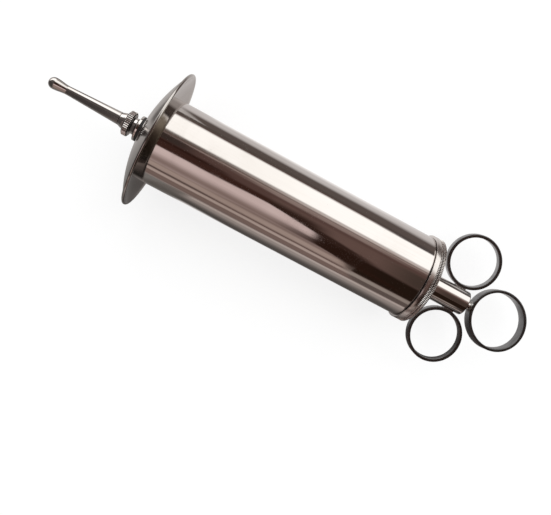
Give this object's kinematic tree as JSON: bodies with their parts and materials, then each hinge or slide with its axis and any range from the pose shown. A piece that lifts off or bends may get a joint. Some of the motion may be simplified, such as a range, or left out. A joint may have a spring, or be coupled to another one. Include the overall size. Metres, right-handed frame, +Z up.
{
  "type": "ear syringe",
  "caption": "Hand-held ear syringe with a plain barrel, splash shield, screw-on nozzle, knurled rear cap, finger rings and a ring-ended plunger.",
  "frame": {"origin": "centre of the outlet hole at the tip of the nozzle", "axes": "+X along the barrel from the nozzle towards the thumb ring, +Y across the finger rings, +Z up, square to the plane of the finger rings"},
  "size_m": [0.2455, 0.0652, 0.065],
  "materials": {
    "plate": "polished warm nickel plate with fine wear",
    "ring_steel": "worn plate, brushed round the bands",
    "solder": "dull grey solder under plate",
    "brass": "turned brass, tarnished",
    "packing_leather": "oiled packing leather",
    "black_washer": "matt black rubber"
  },
  "bodies": {
    "barrel": {"barrel_tube": "plate", "front_head": "plate", "outlet_spigot": "brass", "splash_shield": "plate"},
    "shield_seal": {"shield_washer": "black_washer"},
    "outlet_collar": {"outlet_collar": "plate"},
    "nozzle_seal": {"nozzle_washer": "black_washer"},
    "nozzle": {"nozzle_collar": "plate", "nozzle_tube": "plate"},
    "cap_seal": {"cap_gasket": "packing_leather"},
    "rear_cap": {"rear_cap": "plate", "guide_tube": "plate", "guide_bush": "brass", "finger_ring_left": "ring_steel", "finger_ring_right": "ring_steel", "ring_solder": "solder"},
    "packing": {"piston_cup_front": "packing_leather", "piston_cup_rear": "packing_leather"},
    "plunger": {"plunger_rod": "plate", "thumb_ring": "ring_steel", "thumb_solder": "solder", "piston_front_plate": "brass", "piston_centre_plate": "brass", "piston_rear_plate": "brass", "piston_nut": "brass", "rod_collar": "brass"}
  },
  "joints": [
    {"name": "plunger_slide", "type": "slide", "parent": "barrel", "child": "packing", "axis": [1, 0, 0], "range_m": [0, 0.1252]},
    {"name": "plunger_turn", "type": "hinge", "parent": "packing", "child": "plunger", "pos_m": [0.23092, 0, 0], "axis": [1, 0, 0], "continuous": true},
    {"name": "collar_turn", "type": "hinge", "parent": "shield_seal", "child": "outlet_collar", "pos_m": [0.0435, 0, 0], "axis": [-1, 0, 0], "range_deg": [0, 1440]},
    {"name": "collar_travel", "type": "slide", "parent": "barrel", "child": "shield_seal", "axis": [-1, 0, 0], "range_m": [0, 0.0028]},
    {"name": "nozzle_turn", "type": "hinge", "parent": "nozzle_seal", "child": "nozzle", "pos_m": [0.0398, 0, 0], "axis": [-1, 0, 0], "range_deg": [0, 1620]},
    {"name": "nozzle_travel", "type": "slide", "parent": "outlet_collar", "child": "nozzle_seal", "axis": [-1, 0, 0], "range_m": [0, 0.0027]},
    {"name": "cap_turn", "type": "hinge", "parent": "cap_seal", "child": "rear_cap", "pos_m": [0.18917, 0, 0], "axis": [1, 0, 0], "range_deg": [0, 900]},
    {"name": "cap_travel", "type": "slide", "parent": "barrel", "child": "cap_seal", "axis": [1, 0, 0], "range_m": [0, 0.002]}
  ],
  "couplings": [
    {"joint": "collar_turn", "follows": "collar_travel", "rad_per_m": 8975.9},
    {"joint": "nozzle_turn", "follows": "nozzle_travel", "rad_per_m": 10472},
    {"joint": "cap_turn", "follows": "cap_travel", "rad_per_m": 7853.9}
  ]
}
